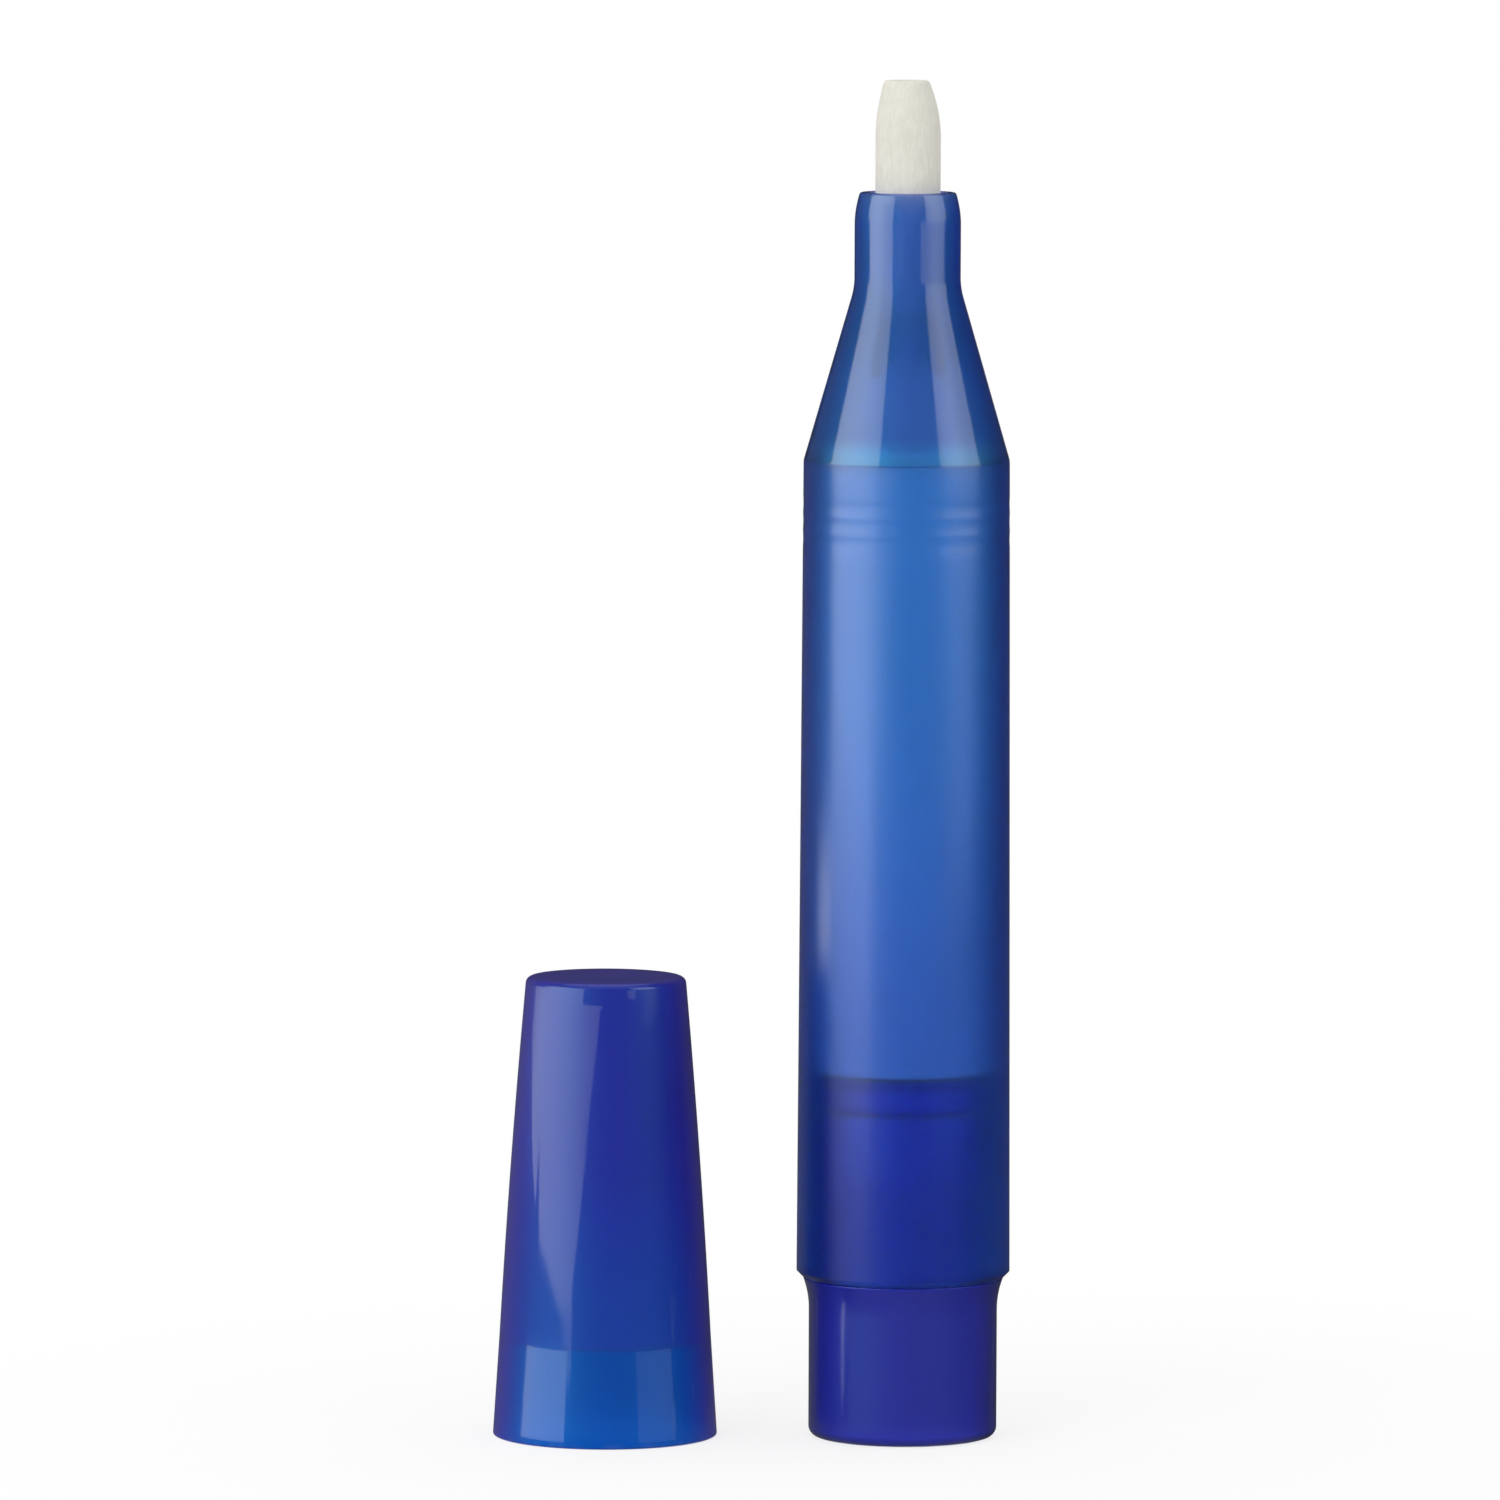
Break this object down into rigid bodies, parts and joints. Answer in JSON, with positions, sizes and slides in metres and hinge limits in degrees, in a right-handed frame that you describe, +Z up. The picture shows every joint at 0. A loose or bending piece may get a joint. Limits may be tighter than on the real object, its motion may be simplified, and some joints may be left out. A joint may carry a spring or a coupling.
{
  "type": "felt-tip cuticle softener pen",
  "caption": "Felt-tip applicator pen for cuticle softener: round translucent barrel with a coned neck, felt nib, pull-off hollow tail, and a tapered cap standing beside it.",
  "frame": {"origin": "centre of the tail's flat foot, on the pen's axis", "axes": "+Z up along the pen from the foot to the nib, -X towards the cap that stands beside it"},
  "size_m": [0.0415, 0.018, 0.1088],
  "materials": {
    "barrel_blue": "translucent blue, satin gloss",
    "tail_blue": "translucent deep blue, satin gloss",
    "cap_blue": "translucent deep blue, gloss",
    "seal_clear": "natural, cloudy",
    "nib_felt": "bonded felt, off-white",
    "wick_fibre": "bonded fibre",
    "wad_fibre": "loose fibre wad, white",
    "film_wrap": "thin milky film",
    "stopper_blue": "soft deep blue plastic"
  },
  "bodies": {
    "tail": {"tail_plug": "tail_blue", "spare_nib_1": "nib_felt", "spare_nib_2": "nib_felt", "spare_nib_3": "nib_felt"},
    "barrel": {"barrel": "barrel_blue", "reservoir_core": "wad_fibre", "reservoir_film": "film_wrap", "feed_wick": "wick_fibre", "reservoir_stopper": "stopper_blue"},
    "nib": {"nib": "nib_felt"},
    "cap": {"cap_shell": "cap_blue", "cap_inner_seal": "seal_clear"}
  },
  "joints": [
    {"name": "barrel_pull", "type": "slide", "parent": "tail", "child": "barrel", "axis": [0, 0, 1], "range_m": [0, 0.045]},
    {"name": "nib_pull", "type": "slide", "parent": "barrel", "child": "nib", "axis": [0, 0, 1], "range_m": [0, 0.013]},
    {"name": "cap_lift", "type": "slide", "parent": "tail", "child": "cap", "axis": [0, 0, 1], "range_m": [0, 0.08]}
  ]
}
